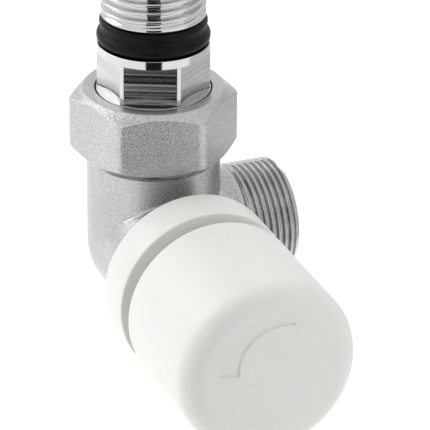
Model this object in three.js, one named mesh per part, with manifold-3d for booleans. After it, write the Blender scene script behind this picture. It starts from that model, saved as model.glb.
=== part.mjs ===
// Corner lockshield radiator valve: body, union tail, headwork, swivel disc and shield cap.
// Millimetres, +Z up. The three ports' axes cross at one point, the axis crossing.
// The radiator tail leaves along +Z, the pipe outlet along +X and the headwork along -Y.
// The row's origin is the centre of the pipe outlet's end face.
import * as THREE from 'three';
import { mergeVertices } from 'three/addons/utils/BufferGeometryUtils.js';
import Module from 'manifold-3d';

const wasm = await Module();
wasm.setup();

// General
const OUTLET_END = 28;            // axis crossing to the outlet's end face
const FINE = 40;                  // facets round the large turned surfaces
const MEDIUM = 28;                // facets round the spindle, bores and small rings
const COARSE = 18;                // facets round screws and hidden passages
const OVERRUN = 1;                // how far a cutting solid runs past a face

// Valve body
const SLEEVE_R = 13.5;            // cast sleeve and headwork boss
const SLEEVE_TOP = 19;
const SPIGOT_R = 12.45;           // plain stand-in for the hidden 3/4 inch union thread
const SPIGOT_TOP = 28;
const SPIGOT_BORE_R = 9.6;
const SPIGOT_BORE_FLOOR = 21.5;
const TAIL_WAY_R = 7.6;
const TAIL_WAY_FLOOR = 12.5;
const BOSS_FACE = 19.35;
const HEAD_BORE_R = 10.2;
const HEAD_BORE_FLOOR = 11.3;
const CHAMBER_R = 8.2;
const SEAT_BORE_R = 4.6;
const SEAT_LIP_R = 5.6;
const SEAT_LIP_HEIGHT = 0.8;
const SEAT_BACK = 3;
const REAR_CHAMBER_R = 6;
const REAR_CHAMBER_DEPTH = 9.6;
const TAIL_PORT_R = 4.3;
const TAIL_PORT_OFFSET = 4.4;
const OUTLET_PORT_R = 3.6;
const OUTLET_PORT_OFFSET = 5.6;

// Pipe outlet, a 24 mm thread of 19 turns per inch
const OUTLET_CREST_R = 12;
const OUTLET_PITCH = 25.4 / 19;
const OUTLET_THREAD_START = 17.1;
const OUTLET_THREAD_END = 26.5;
const OUTLET_FACE_R = 10.5;
const OUTLET_BORE_R = 6.6;
const OUTLET_SOCKET_R = 8;
const OUTLET_SOCKET_FLOOR = 21;

// Union nut, 30 mm across flats
const NUT_ACROSS_FLATS = 30;
const NUT_CORNER_R = 17;
const NUT_BOTTOM = 20.2;
const NUT_TOP = 33.5;
const NUT_BORE_R = 12.8;
const NUT_LIP_R = 11.8;
const NUT_LIP_UNDERSIDE = 31.2;
const NUT_TURN_DEG = -105.4;      // where one flat's normal points

// Radiator tail with a 1/2 inch parallel thread
const TAIL_FOOT = 23.2;
const TAIL_FOOT_R = 9.3;
const TAIL_COLLAR_BOTTOM = 28.3;
const TAIL_COLLAR_TOP = 30.9;
const TAIL_COLLAR_R = 12.4;
const TAIL_LEDGE_R = 11.5;        // round ledge that fills the nut's lip hole
const TAIL_HEX_BOTTOM = 33.4;
const TAIL_HEX_R = 11.35;
const TAIL_HEX_ACROSS_FLATS = 20;
const TAIL_HEX_TOP = 41.85;
const TAIL_HEX_TURN_DEG = -115;
const TAIL_SHOULDER = 43.6;
const TAIL_CREST_R = 20.955 / 2;
const TAIL_PITCH = 25.4 / 14;
const TAIL_THREAD_DEPTH = 1.16;
const TAIL_THREAD_LAND = 49.45;   // plain edge below the first turn
const TAIL_THREAD_START = 49.9;
const TAIL_THREAD_TURNS = 7;
const TAIL_GROOVE_R = 9.3;
const TAIL_BORE_R = 7.2;

// Headwork, measured from the axis crossing along -Y
const STROKE = 4;                 // disc travel from shut to fully open
const BONNET_INNER_END = 11.6;
const BONNET_R = 9.9;
const BONNET_HEX_ACROSS_FLATS = 19;
const BONNET_HEX_START = 22.15;
const BONNET_HEX_END = 26.4;
const BONNET_NECK_R = 8.2;
const BONNET_END = 37.4;
const BONNET_RECESS_R = 7;
const BONNET_RECESS_END = 15;
const SEAL_BORE_R = 4.9;
const SEAL_BORE_END = 24;
const STEM_BORE_R = 5.4;
const CLIP_GROOVE_R = 6.7;
const CLIP_THICK = 1;

const SPINDLE_SHAFT_R = 4.6;
const SPINDLE_THREAD_R = 5.1;
const SPINDLE_HEAD = 31;
const CLIP_START = SPINDLE_HEAD + STROKE + 0.3;
const SOCKET_ACROSS_FLATS = 6;
const SOCKET_DEPTH = 7;
const RING_R = 4.2;
const RING_SECTION_R = 0.6;
const RING_GROOVE_R = 3.5;
const RING_CENTRES = [16.3, 18.8];
const BUTTON_R = 3.8;
const BUTTON_START = 7;
const BUTTON_END = 8.4;
const STEM_R = 2.5;

const HOLDER_R = 6.6;
const HOLDER_START = 1.3;
const HOLDER_END = 10.6;
const HOLDER_POCKET_R = 4.2;
const HOLDER_POCKET_FLOOR = 5.8;
const WASHER_R = 5.7;
const WASHER_START = 0.3;
const WASHER_END = 2.5;
const SCREW_R = 1.5;

// Shield cap and its collar, measured along -Y
const CAP_R = 18.1;
const CAP_START = 32.7;
const CAP_END = 62.2;
const CAP_FILLET = 4.3;
const CAP_MOUTH_R = 16.2;
const CAP_MOUTH_END = 43;
const CAP_INSIDE_R = 15.4;
const CAP_INSIDE_END = 59.8;
const MARK_DEPTH = 0.4;
const MARK_OUTER_R = 11.2;
const MARK_WIDE_R = 6.8;
const MARK_NARROW_R = 10.5;
const MARK_WIDE_DEG = 173.5;
const MARK_NARROW_DEG = 65.5;
const COLLAR_START = 19.65;
const COLLAR_END = 28.7;
const COLLAR_WEB_END = 21.85;
const COLLAR_INSIDE_R = 14.8;
const HUB_R = 13.6;
const HUB_BORE_R = 11.6;
const HUB_END = 40;
const INSERT_R = 15.9;
const INSERT_BORE_R = 13.9;
const INSERT_START = 35.8;
const INSERT_END = 42.7;
const INSERT_SLOTS = 6;

const radians = (degrees) => degrees * Math.PI / 180;

// A manifold solid from a three.js geometry, turned outward if its volume comes out negative.
function solidFrom(geometry) {
  const bare = geometry.clone();
  bare.deleteAttribute('normal');
  bare.deleteAttribute('uv');
  const merged = mergeVertices(bare, 1e-5);
  const positions = merged.attributes.position.array;
  const index = merged.index.array;
  const corner = (i) => new THREE.Vector3().fromArray(positions, 3 * i);
  const kept = [];
  let volume = 0;
  for (let t = 0; t < index.length; t += 3) {
    const [a, b, c] = [index[t], index[t + 1], index[t + 2]];
    if (a !== b && b !== c && c !== a) {
      kept.push([a, b, c]);
      volume += corner(a).dot(corner(b).cross(corner(c)));
    }
  }
  const triangles = kept.map((t) => (volume < 0 ? [t[0], t[2], t[1]] : t)).flat();
  return new wasm.Manifold(new wasm.Mesh({
    numProp: 3,
    vertProperties: Float32Array.from(positions),
    triVerts: Uint32Array.from(triangles),
  }));
}

// Turn a geometry made about +Y so that its axis runs along one of the valve's three axes.
function alongAxis(geometry, axis) {
  if (axis === 'tail') geometry.rotateX(Math.PI / 2);
  if (axis === 'outlet') geometry.rotateZ(-Math.PI / 2);
  if (axis === 'head') geometry.rotateX(Math.PI);
  return geometry;
}

// A closed profile of [radius, distance along the axis] corners, revolved about that axis.
function revolve(profile, axis, facets = MEDIUM) {
  const points = profile.map(([radius, along]) => new THREE.Vector2(radius, along));
  const first = points[0];
  const last = points[points.length - 1];
  const onAxis = first.x === 0 && last.x === 0;
  if (!onAxis) points.push(first.clone());
  return solidFrom(alongAxis(new THREE.LatheGeometry(points, facets), axis));
}

// A hollow ring between two radii.
function ring(innerR, outerR, start, end, axis, facets = MEDIUM) {
  return revolve([[innerR, start], [outerR, start], [outerR, end], [innerR, end]], axis, facets);
}

function disc(radius, start, end, axis, facets = MEDIUM) {
  return revolve([[0, start], [radius, start], [radius, end], [0, end]], axis, facets);
}

// A torus seal of round section about an axis.
function roundRing(centreR, sectionR, along, axis) {
  const geometry = new THREE.TorusGeometry(centreR, sectionR, 6, 24);
  geometry.rotateX(Math.PI / 2);
  geometry.translate(0, along, 0);
  return solidFrom(alongAxis(geometry, axis));
}

// A hexagonal prism; turnDeg is where one flat's normal points in the plane across the axis.
function hexPrism(acrossFlats, start, end, axis, turnDeg = 0) {
  const cornerR = acrossFlats / Math.sqrt(3);
  const geometry = new THREE.CylinderGeometry(cornerR, cornerR, end - start, 6);
  geometry.translate(0, (start + end) / 2, 0);
  geometry.rotateY(radians(turnDeg));
  return solidFrom(alongAxis(geometry, axis));
}

function box(min, max) {
  const size = max.map((value, i) => value - min[i]);
  const geometry = new THREE.BoxGeometry(...size);
  geometry.translate(...min.map((value, i) => value + size[i] / 2));
  return solidFrom(geometry);
}

// The [radius, distance] corners of a thread drawn as parallel V grooves.
function threadProfile(crestR, depth, pitch, start, turns) {
  const corners = [];
  for (let turn = 0; turn < turns; turn += 1) {
    const at = start + turn * pitch;
    corners.push([crestR, at], [crestR - depth, at + 0.5 * pitch]);
  }
  corners.push([crestR, start + turns * pitch]);
  return corners;
}

// Corners of a circular arc in a profile, from one angle to another.
function arc(centreR, centreAlong, radius, fromDeg, toDeg, steps) {
  return Array.from({ length: steps + 1 }, (unused, i) => {
    const angle = radians(fromDeg + (toDeg - fromDeg) * i / steps);
    return [centreR + radius * Math.cos(angle), centreAlong + radius * Math.sin(angle)];
  });
}

function valveBody() {
  const elbow = arc(0, 0, SLEEVE_R, -90, 0, FINE / 4).map(([r, z]) => [Math.max(r, 0), z]);
  elbow[0][0] = 0;
  const sleeve = revolve([...elbow,
    [SLEEVE_R, SLEEVE_TOP - 0.4], [SLEEVE_R - 0.4, SLEEVE_TOP], [SPIGOT_R, SLEEVE_TOP],
    [SPIGOT_R, SPIGOT_TOP - 0.6], [SPIGOT_R - 0.6, SPIGOT_TOP], [0, SPIGOT_TOP]], 'tail', FINE);
  const boss = revolve([[0, 0], [SLEEVE_R, 0], [SLEEVE_R, BOSS_FACE - 0.5],
    [SLEEVE_R - 0.5, BOSS_FACE], [0, BOSS_FACE]], 'head', FINE);
  const turns = Math.floor((OUTLET_THREAD_END - OUTLET_THREAD_START) / OUTLET_PITCH);
  const threads = threadProfile(OUTLET_CREST_R, 0.8, OUTLET_PITCH, OUTLET_THREAD_START, turns);
  const arm = revolve([[0, 0], [13, 0], [12.9, 12.4], [11.9, 16], [11.2, 16.4],
    [11.2, OUTLET_THREAD_START - 0.3], ...threads, [OUTLET_CREST_R, OUTLET_END - 1.5],
    [OUTLET_FACE_R, OUTLET_END], [0, OUTLET_END]], 'outlet', FINE);

  const tailWay = revolve([[0, TAIL_WAY_FLOOR], [TAIL_WAY_R, TAIL_WAY_FLOOR],
    [TAIL_WAY_R, SPIGOT_BORE_FLOOR], [SPIGOT_BORE_R, SPIGOT_BORE_FLOOR],
    [SPIGOT_BORE_R, SPIGOT_TOP + OVERRUN], [0, SPIGOT_TOP + OVERRUN]], 'tail', FINE);
  const tailPort = disc(TAIL_PORT_R, 2, TAIL_WAY_FLOOR + OVERRUN, 'tail', COARSE)
    .translate([0, -TAIL_PORT_OFFSET, 0]);
  const headWay = revolve([[0, 0], [SEAT_LIP_R, 0], [SEAT_LIP_R, -SEAT_LIP_HEIGHT],
    [CHAMBER_R, -SEAT_LIP_HEIGHT], [CHAMBER_R, HEAD_BORE_FLOOR], [HEAD_BORE_R, HEAD_BORE_FLOOR],
    [HEAD_BORE_R, BOSS_FACE + OVERRUN], [0, BOSS_FACE + OVERRUN]], 'head', MEDIUM);
  const seatWay = revolve([[0, -REAR_CHAMBER_DEPTH], [REAR_CHAMBER_R - 1.5, -REAR_CHAMBER_DEPTH],
    [REAR_CHAMBER_R, 1.5 - REAR_CHAMBER_DEPTH], [REAR_CHAMBER_R, -SEAT_BACK],
    [SEAT_BORE_R, -SEAT_BACK], [SEAT_BORE_R, OVERRUN], [0, OVERRUN]], 'head', MEDIUM);
  const outletPort = disc(OUTLET_PORT_R, 1, 15, 'outlet', COARSE)
    .translate([0, OUTLET_PORT_OFFSET, 0]);
  const outletWay = revolve([[0, 13.5], [OUTLET_BORE_R, 13.5], [OUTLET_BORE_R, OUTLET_SOCKET_FLOOR],
    [OUTLET_SOCKET_R, OUTLET_SOCKET_FLOOR], [OUTLET_SOCKET_R, OUTLET_END - 1],
    [OUTLET_SOCKET_R + 1.5, OUTLET_END + 0.5], [0, OUTLET_END + 0.5]], 'outlet', MEDIUM);
  return sleeve.add(boss).add(arm)
    .subtract(tailWay).subtract(tailPort).subtract(headWay)
    .subtract(seatWay).subtract(outletPort).subtract(outletWay);
}

function unionNut() {
  const envelope = revolve([[NUT_LIP_R, NUT_LIP_UNDERSIDE], [NUT_BORE_R, NUT_LIP_UNDERSIDE],
    [NUT_BORE_R, NUT_BOTTOM + 0.7], [NUT_BORE_R + 0.7, NUT_BOTTOM], [14.9, NUT_BOTTOM],
    [NUT_CORNER_R, 21.6], [NUT_CORNER_R, 31.3], [15, 32.6], [14.1, NUT_TOP],
    [NUT_LIP_R, NUT_TOP]], 'tail', FINE);
  const hex = hexPrism(NUT_ACROSS_FLATS, NUT_BOTTOM - OVERRUN, NUT_TOP + OVERRUN, 'tail',
    NUT_TURN_DEG);
  return envelope.intersect(hex);
}

function tailpiece() {
  const threads = threadProfile(TAIL_CREST_R, TAIL_THREAD_DEPTH, TAIL_PITCH, TAIL_THREAD_START,
    TAIL_THREAD_TURNS);
  const top = TAIL_THREAD_START + TAIL_THREAD_TURNS * TAIL_PITCH + 1.2;
  const barrel = revolve([[TAIL_BORE_R, TAIL_FOOT], [TAIL_FOOT_R, TAIL_FOOT],
    [TAIL_FOOT_R, 24.7], [8.1, 24.7], [8.1, 26.7], [TAIL_FOOT_R, 26.7],
    [TAIL_FOOT_R, TAIL_COLLAR_BOTTOM], [TAIL_COLLAR_R, TAIL_COLLAR_BOTTOM],
    [TAIL_COLLAR_R, TAIL_COLLAR_TOP], [TAIL_LEDGE_R, TAIL_COLLAR_TOP],
    [TAIL_LEDGE_R, TAIL_HEX_BOTTOM], [TAIL_HEX_R, TAIL_HEX_BOTTOM],
    [TAIL_HEX_R, TAIL_SHOULDER], [TAIL_GROOVE_R, TAIL_SHOULDER],
    [TAIL_GROOVE_R, TAIL_THREAD_LAND - 0.1], [TAIL_CREST_R, TAIL_THREAD_LAND], ...threads,
    [TAIL_CREST_R - 1, top], [TAIL_BORE_R, top]], 'tail', FINE);
  const hex = hexPrism(TAIL_HEX_ACROSS_FLATS, TAIL_HEX_BOTTOM, TAIL_HEX_TOP, 'tail',
    TAIL_HEX_TURN_DEG);
  const flats = disc(TAIL_HEX_R + OVERRUN, TAIL_HEX_BOTTOM, TAIL_HEX_TOP, 'tail', COARSE)
    .subtract(hex);
  return barrel.subtract(flats);
}

function tailpieceSeal() {
  const inner = TAIL_GROOVE_R + 0.15;
  const bottom = TAIL_SHOULDER + 0.15;
  const top = TAIL_THREAD_LAND - 0.25;
  return revolve([[inner, bottom], [10.9, bottom], [11.3, bottom + 0.6], [11.38, bottom + 1.2],
    [11.2, bottom + 2], [10.6, bottom + 2.6], [10.45, bottom + 3], [10.75, bottom + 3.5],
    [10.8, bottom + 4.2], [10.4, top], [inner, top]], 'tail', FINE);
}

function bonnet() {
  const barrel = revolve([[BONNET_RECESS_R, BONNET_INNER_END], [BONNET_R, BONNET_INNER_END],
    [BONNET_R, 13], [8.4, 13], [8.4, 15.2], [BONNET_R, 15.2], [BONNET_R, BONNET_HEX_START],
    [10.5, BONNET_HEX_START], [10.97, BONNET_HEX_START + 0.5], [10.97, BONNET_HEX_END - 0.5],
    [10.3, BONNET_HEX_END], [BONNET_NECK_R, BONNET_HEX_END], [BONNET_NECK_R, BONNET_END - 0.5],
    [BONNET_NECK_R - 0.5, BONNET_END], [STEM_BORE_R, BONNET_END],
    [STEM_BORE_R, CLIP_START + CLIP_THICK + 0.15], [CLIP_GROOVE_R, CLIP_START + CLIP_THICK + 0.15],
    [CLIP_GROOVE_R, CLIP_START - 0.15], [STEM_BORE_R, CLIP_START - 0.15],
    [STEM_BORE_R, SEAL_BORE_END], [SEAL_BORE_R, SEAL_BORE_END],
    [SEAL_BORE_R, BONNET_RECESS_END], [BONNET_RECESS_R, BONNET_RECESS_END]], 'head', MEDIUM);
  const aroundHex = disc(12, BONNET_HEX_START - 0.1, BONNET_HEX_END + 0.1, 'head', COARSE)
    .subtract(hexPrism(BONNET_HEX_ACROSS_FLATS, BONNET_HEX_START - OVERRUN,
      BONNET_HEX_END + OVERRUN, 'head'));
  return barrel.subtract(aroundHex);
}

function spindle() {
  const grooves = RING_CENTRES.flatMap((centre) => [
    [SPINDLE_SHAFT_R, centre - 0.8], [RING_GROOVE_R, centre - 0.8],
    [RING_GROOVE_R, centre + 0.8], [SPINDLE_SHAFT_R, centre + 0.8]]);
  const shaft = revolve([[0, BUTTON_START], [BUTTON_R, BUTTON_START], [BUTTON_R, BUTTON_END],
    [STEM_R, BUTTON_END], [STEM_R, 11.6], [SPINDLE_SHAFT_R - 0.5, 11.6], [SPINDLE_SHAFT_R, 12.1],
    ...grooves, [SPINDLE_SHAFT_R, SEAL_BORE_END + 0.3], [SPINDLE_THREAD_R, SEAL_BORE_END + 0.8],
    [SPINDLE_THREAD_R, SPINDLE_HEAD - 0.5], [SPINDLE_THREAD_R - 0.5, SPINDLE_HEAD],
    [0, SPINDLE_HEAD]], 'head', MEDIUM);
  return shaft.subtract(hexPrism(SOCKET_ACROSS_FLATS, SPINDLE_HEAD - SOCKET_DEPTH,
    SPINDLE_HEAD + OVERRUN, 'head'));
}

function discHolder() {
  return revolve([[1.8, 2.8], [WASHER_R + 0.3, 2.8], [WASHER_R + 0.3, HOLDER_START],
    [HOLDER_R, HOLDER_START], [HOLDER_R, HOLDER_END - 0.4], [HOLDER_R - 0.4, HOLDER_END],
    [HOLDER_POCKET_R, HOLDER_END], [HOLDER_POCKET_R, 9.75], [5.1, 9.75], [5.1, 8.6],
    [HOLDER_POCKET_R, 8.6], [HOLDER_POCKET_R, HOLDER_POCKET_FLOOR], [1.8, HOLDER_POCKET_FLOOR]],
  'head', MEDIUM);
}

function discScrew() {
  const screw = revolve([[0, -1.2], [2.4, -1.2], [2.9, -0.8], [2.9, 0], [SCREW_R, 0],
    [SCREW_R, 5.2], [1.2, 5.5], [0, 5.5]], 'head', COARSE);
  return screw.subtract(box([-0.4, 0.6, -4], [0.4, 2, 4]));
}

function capCollar() {
  return revolve([[10.3, COLLAR_START], [CAP_R - 0.6, COLLAR_START], [CAP_R, COLLAR_START + 0.6],
    [CAP_R, COLLAR_END - 0.3], [CAP_R - 0.3, COLLAR_END], [COLLAR_INSIDE_R, COLLAR_END],
    [COLLAR_INSIDE_R, COLLAR_WEB_END], [HUB_R, COLLAR_WEB_END], [HUB_R, HUB_END - 0.5],
    [HUB_R - 0.5, HUB_END], [HUB_BORE_R, HUB_END], [HUB_BORE_R, COLLAR_WEB_END],
    [10.3, COLLAR_WEB_END]], 'head', FINE);
}

function cap() {
  const fillet = arc(CAP_R - CAP_FILLET, CAP_END - CAP_FILLET, CAP_FILLET, 0, 90, 5);
  const inside = arc(CAP_INSIDE_R - 2.2, CAP_INSIDE_END - 2.2, 2.2, 90, 0, 2);
  inside[0][0] = CAP_INSIDE_R - 2.2;
  const shell = revolve([[0, CAP_END], ...fillet.reverse(), [CAP_R, CAP_START + 0.3],
    [CAP_R - 0.3, CAP_START], [CAP_MOUTH_R, CAP_START], [CAP_MOUTH_R, 34.2], [16.9, 34.2],
    [16.9, 35.4], [CAP_MOUTH_R, 35.4], [CAP_MOUTH_R, CAP_MOUTH_END],
    [CAP_INSIDE_R, CAP_MOUTH_END], ...inside.reverse(), [0, CAP_INSIDE_END]], 'head', FINE);
  return shell.subtract(capMark());
}

// The tapering arc sunk into the cap's face.
function capMark() {
  const outline = new THREE.Shape();
  const steps = 9;
  const at = (radius, deg) => [radius * Math.cos(radians(deg)), radius * Math.sin(radians(deg))];
  outline.moveTo(...at(MARK_OUTER_R, MARK_WIDE_DEG));
  const sweep = MARK_NARROW_DEG - MARK_WIDE_DEG;
  for (let i = 1; i <= steps; i += 1) {
    outline.lineTo(...at(MARK_OUTER_R, MARK_WIDE_DEG + sweep * i / steps));
  }
  for (let i = steps; i >= 0; i -= 1) {
    const share = i / steps;
    const radius = MARK_WIDE_R + (MARK_NARROW_R - MARK_WIDE_R) * share;
    outline.lineTo(...at(radius, MARK_WIDE_DEG + sweep * share));
  }
  const geometry = new THREE.ExtrudeGeometry(outline, { depth: 2, bevelEnabled: false });
  geometry.rotateX(Math.PI / 2);
  geometry.translate(0, MARK_DEPTH - CAP_END, 0);
  return solidFrom(geometry);
}

function capInsert() {
  const sleeve = revolve([[INSERT_BORE_R, INSERT_START + 1.6],
    [INSERT_BORE_R - 0.1, INSERT_START + 0.8], [INSERT_BORE_R, INSERT_START],
    [INSERT_R - 0.3, INSERT_START], [INSERT_R, INSERT_START + 0.3],
    [INSERT_R, INSERT_END], [INSERT_BORE_R, INSERT_END]], 'head', FINE);
  let slots = null;
  for (let i = 0; i < INSERT_SLOTS; i += 1) {
    const slot = box([13, -INSERT_START - 4.4, -0.6], [17, -INSERT_START + OVERRUN, 0.6])
      .rotate([0, i * 360 / INSERT_SLOTS + 15, 0]);
    slots = slots ? slots.add(slot) : slot;
  }
  return sleeve.subtract(slots);
}

// A spring ring with a gap, opening towards +X.
function gappedRing(innerR, outerR, start, thick, gap) {
  const whole = ring(innerR, outerR, start, start + thick, 'head', MEDIUM);
  const opening = box([0, -start - thick - OVERRUN, -gap / 2], [20, OVERRUN - start, gap / 2]);
  return whole.subtract(opening);
}

const MATERIALS = {
  satin_nickel: { color: 0xb9babb, roughness: 0.42, metalness: 1 },
  polished_nickel: { color: 0xd4d4d3, roughness: 0.14, metalness: 1 },
  brass: { color: 0xc9a45a, roughness: 0.35, metalness: 1 },
  white_plastic: { color: 0xeeefec, roughness: 0.42, metalness: 0 },
  inner_plastic: { color: 0xe2e2dc, roughness: 0.5, metalness: 0 },
  black_rubber: { color: 0x1c1c1e, roughness: 0.7, metalness: 0 },
  ptfe: { color: 0xf0efe6, roughness: 0.55, metalness: 0 },
  spring_steel: { color: 0x8f9092, roughness: 0.3, metalness: 1 },
};

const valve = new THREE.Group();
valve.name = 'lockshield_valve';

function addPart(name, slot, solid) {
  const shape = solid.translate([-OUTLET_END, 0, 0]).getMesh();
  const geometry = new THREE.BufferGeometry();
  const positions = Float32Array.from(shape.vertProperties);
  geometry.setAttribute('position', new THREE.BufferAttribute(positions, 3));
  geometry.setIndex(Array.from(shape.triVerts));
  geometry.computeVertexNormals();
  const mesh = new THREE.Mesh(geometry, new THREE.MeshStandardMaterial(MATERIALS[slot]));
  mesh.name = name;
  valve.add(mesh);
}

addPart('valve_body', 'satin_nickel', valveBody());
addPart('union_nut', 'satin_nickel', unionNut());
addPart('tailpiece', 'polished_nickel', tailpiece());
addPart('tailpiece_seal', 'black_rubber', tailpieceSeal());
addPart('union_o_ring', 'black_rubber', roundRing(8.85, 0.65, 25.7, 'tail'));
addPart('bonnet', 'brass', bonnet());
addPart('bonnet_o_ring', 'black_rubber', roundRing(9.3, 0.75, 14.1, 'head'));
addPart('spindle', 'brass', spindle());
['spindle_o_ring_inner', 'spindle_o_ring_outer'].forEach((name, i) => {
  addPart(name, 'black_rubber', roundRing(RING_R, RING_SECTION_R, RING_CENTRES[i], 'head'));
});
addPart('spindle_circlip', 'spring_steel', gappedRing(3.9, 6.4, CLIP_START, CLIP_THICK, 3));
addPart('disc_holder', 'brass', discHolder());
addPart('disc_washer', 'black_rubber', ring(1.8, WASHER_R, WASHER_START, WASHER_END, 'head'));
addPart('disc_screw', 'brass', discScrew());
addPart('thrust_washer', 'ptfe', ring(1, 3.9, 6.1, 6.7, 'head', COARSE));
addPart('swivel_clip', 'spring_steel', gappedRing(2.9, 4.9, 8.75, 0.8, 2.4));
addPart('cap_collar', 'white_plastic', capCollar());
addPart('cap', 'white_plastic', cap());
addPart('cap_insert', 'inner_plastic', capInsert());
addPart('insert_retaining_ring', 'spring_steel', gappedRing(15, 16.6, 34.35, 0.9, 5));

export default valve;
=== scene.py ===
"""Looks of a corner lockshield radiator valve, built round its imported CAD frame.

Lengths are millimetres from the point where the three ports' axes cross, and become metres in the frame
when a mesh is made. "along" is a distance from that point along a port's axis.
"""

import bmesh
import bpy
import numpy as np
from mathutils import Matrix, Vector


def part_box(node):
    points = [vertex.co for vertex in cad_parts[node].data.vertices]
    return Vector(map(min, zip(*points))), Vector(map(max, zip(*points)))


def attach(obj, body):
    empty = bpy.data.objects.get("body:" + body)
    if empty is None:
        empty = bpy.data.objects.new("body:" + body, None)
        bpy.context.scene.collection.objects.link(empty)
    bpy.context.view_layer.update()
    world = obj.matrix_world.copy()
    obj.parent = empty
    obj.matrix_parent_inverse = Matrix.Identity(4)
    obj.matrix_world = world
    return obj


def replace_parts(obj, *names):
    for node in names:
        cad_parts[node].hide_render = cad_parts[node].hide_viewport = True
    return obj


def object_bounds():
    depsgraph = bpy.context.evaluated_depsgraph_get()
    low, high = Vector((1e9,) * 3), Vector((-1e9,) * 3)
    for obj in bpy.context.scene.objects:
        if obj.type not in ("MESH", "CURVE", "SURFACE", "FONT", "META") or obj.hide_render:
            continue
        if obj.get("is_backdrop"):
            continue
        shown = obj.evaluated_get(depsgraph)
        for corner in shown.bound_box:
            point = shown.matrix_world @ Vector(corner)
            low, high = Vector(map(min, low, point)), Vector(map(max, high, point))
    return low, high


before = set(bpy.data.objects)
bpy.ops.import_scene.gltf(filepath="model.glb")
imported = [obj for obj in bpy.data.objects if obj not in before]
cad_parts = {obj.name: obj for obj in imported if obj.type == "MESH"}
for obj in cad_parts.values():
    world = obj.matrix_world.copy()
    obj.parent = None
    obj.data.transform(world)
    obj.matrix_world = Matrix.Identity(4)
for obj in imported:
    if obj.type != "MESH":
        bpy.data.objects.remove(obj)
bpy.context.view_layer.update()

MM = 0.001
TAU = 2 * np.pi
CROSSING = Vector(((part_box("cap")[0].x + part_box("cap")[1].x) / 2, 0, 0))
# each port's axis: two directions across it, then the direction along it, right-handed
AXES = {
    "tail": np.array([(1, 0, 0), (0, 1, 0), (0, 0, 1)], float),
    "outlet": np.array([(0, 1, 0), (0, 0, 1), (1, 0, 0)], float),
    "head": np.array([(1, 0, 0), (0, 0, 1), (0, -1, 0)], float),
}


def reach(node, axis):
    """Where a CAD node starts and ends along an axis."""
    corners = np.array([(c - CROSSING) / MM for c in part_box(node)]) @ AXES[axis][2]
    return min(corners), max(corners)


def radius_of(node):
    """Half of a round CAD node's widest extent."""
    low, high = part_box(node)
    return max(high - low) / 2 / MM


# Sizes that the CAD frame gives
SLEEVE_R = -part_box("valve_body")[0].z / MM
OUTLET_END = reach("valve_body", "outlet")[1]
SPIGOT_TOP = reach("valve_body", "tail")[1]
BOSS_FACE = reach("valve_body", "head")[1]
NUT_BOTTOM, NUT_TOP = reach("union_nut", "tail")
TAIL_FOOT, TAIL_TOP = reach("tailpiece", "tail")
SEAL_BOTTOM, SEAL_TOP = reach("tailpiece_seal", "tail")
COLLAR_START, HUB_END = reach("cap_collar", "head")
CAP_START, CAP_END = reach("cap", "head")
CAP_R = radius_of("cap")
BONNET_START, BONNET_END = reach("bonnet", "head")
SPINDLE_START, SPINDLE_END = reach("spindle", "head")
HOLDER_START, HOLDER_END = reach("disc_holder", "head")
INSERT_START, INSERT_END = reach("cap_insert", "head")

# Valve body
SLEEVE_TOP = 19
ARM_END = 16.5
SPIGOT_CREST_R = 12.55
SPIGOT_ROOT_R = 11.95
SPIGOT_BORE_R = 9.6
SPIGOT_BORE_FLOOR = 21.5
TAIL_WAY_R = 7.6
TAIL_WAY_FLOOR = 12.5
HEAD_BORE_R = 10.2
HEAD_BORE_FLOOR = 11.3
CHAMBER_R = 8.2
CASTING_VOXEL = 0.24
UNION_PITCH = 25.4 / 14

# Pipe outlet
OUTLET_CREST_R = 12
OUTLET_ROOT_R = 11.05
OUTLET_PITCH = 25.4 / 19
OUTLET_PHASE = -0.28
OUTLET_BORE_R = 6.6
OUTLET_SOCKET_R = 8
OUTLET_SOCKET_FLOOR = 21

# Union nut
NUT_FLAT = 15
NUT_CORNER_R = 17
NUT_LIP_R = 11.8
NUT_BORE_R = 12.75
NUT_THREAD_R = 13.25
NUT_LIP_UNDERSIDE = 31.2
NUT_TURN = np.radians(-105.4)
NUT_CORNER = 2.5                  # radius of the forged corners
NUT_EDGE = 0.4

# Tailpiece
TAIL_BORE_R = 7.2
TAIL_FOOT_R = 9.3
TAIL_GROOVE_R = 9.3
TAIL_COLLAR_BOTTOM = 28.3
TAIL_COLLAR_TOP = 30.9
TAIL_COLLAR_R = 12.4
TAIL_LEDGE_R = 11.5
TAIL_R = 11.35
TAIL_FLAT = 10
TAIL_FLATS_BOTTOM = 33.4
TAIL_FLATS_TOP = 41.85
TAIL_SHOULDER = 43.6
TAIL_TURN = np.radians(-115)
TAIL_CREST_R = 20.955 / 2
TAIL_ROOT_R = 9.32
TAIL_THREAD_START = 49.45
TAIL_PHASE = -0.15

# Cap and collar
CAP_FILLET = 4.3
CAP_MOUTH_R = 16.2
CAP_INSIDE_R = 15.4
CAP_INSIDE_END = 59.8
CAP_STEP = 43                     # where the wider mouth ends
RING_GROOVE = (34.2, 35.4)
RING_GROOVE_R = 16.9
COLLAR_FRONT = 28.7
COLLAR_WEB_END = 21.85
COLLAR_INSIDE_R = 14.8
HUB_R = 13.6
HUB_BORE_R = 11.6
MARK_DEPTH = 0.4
MARK_WALL = 0.14
MARK_OUTER_R = 11.2
MARK_INNER_R = (6.8, 10.5)
MARK_ANGLES = (np.radians(173.5), np.radians(65.5))


# Meshes ---------------------------------------------------------------------------------------------

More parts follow.
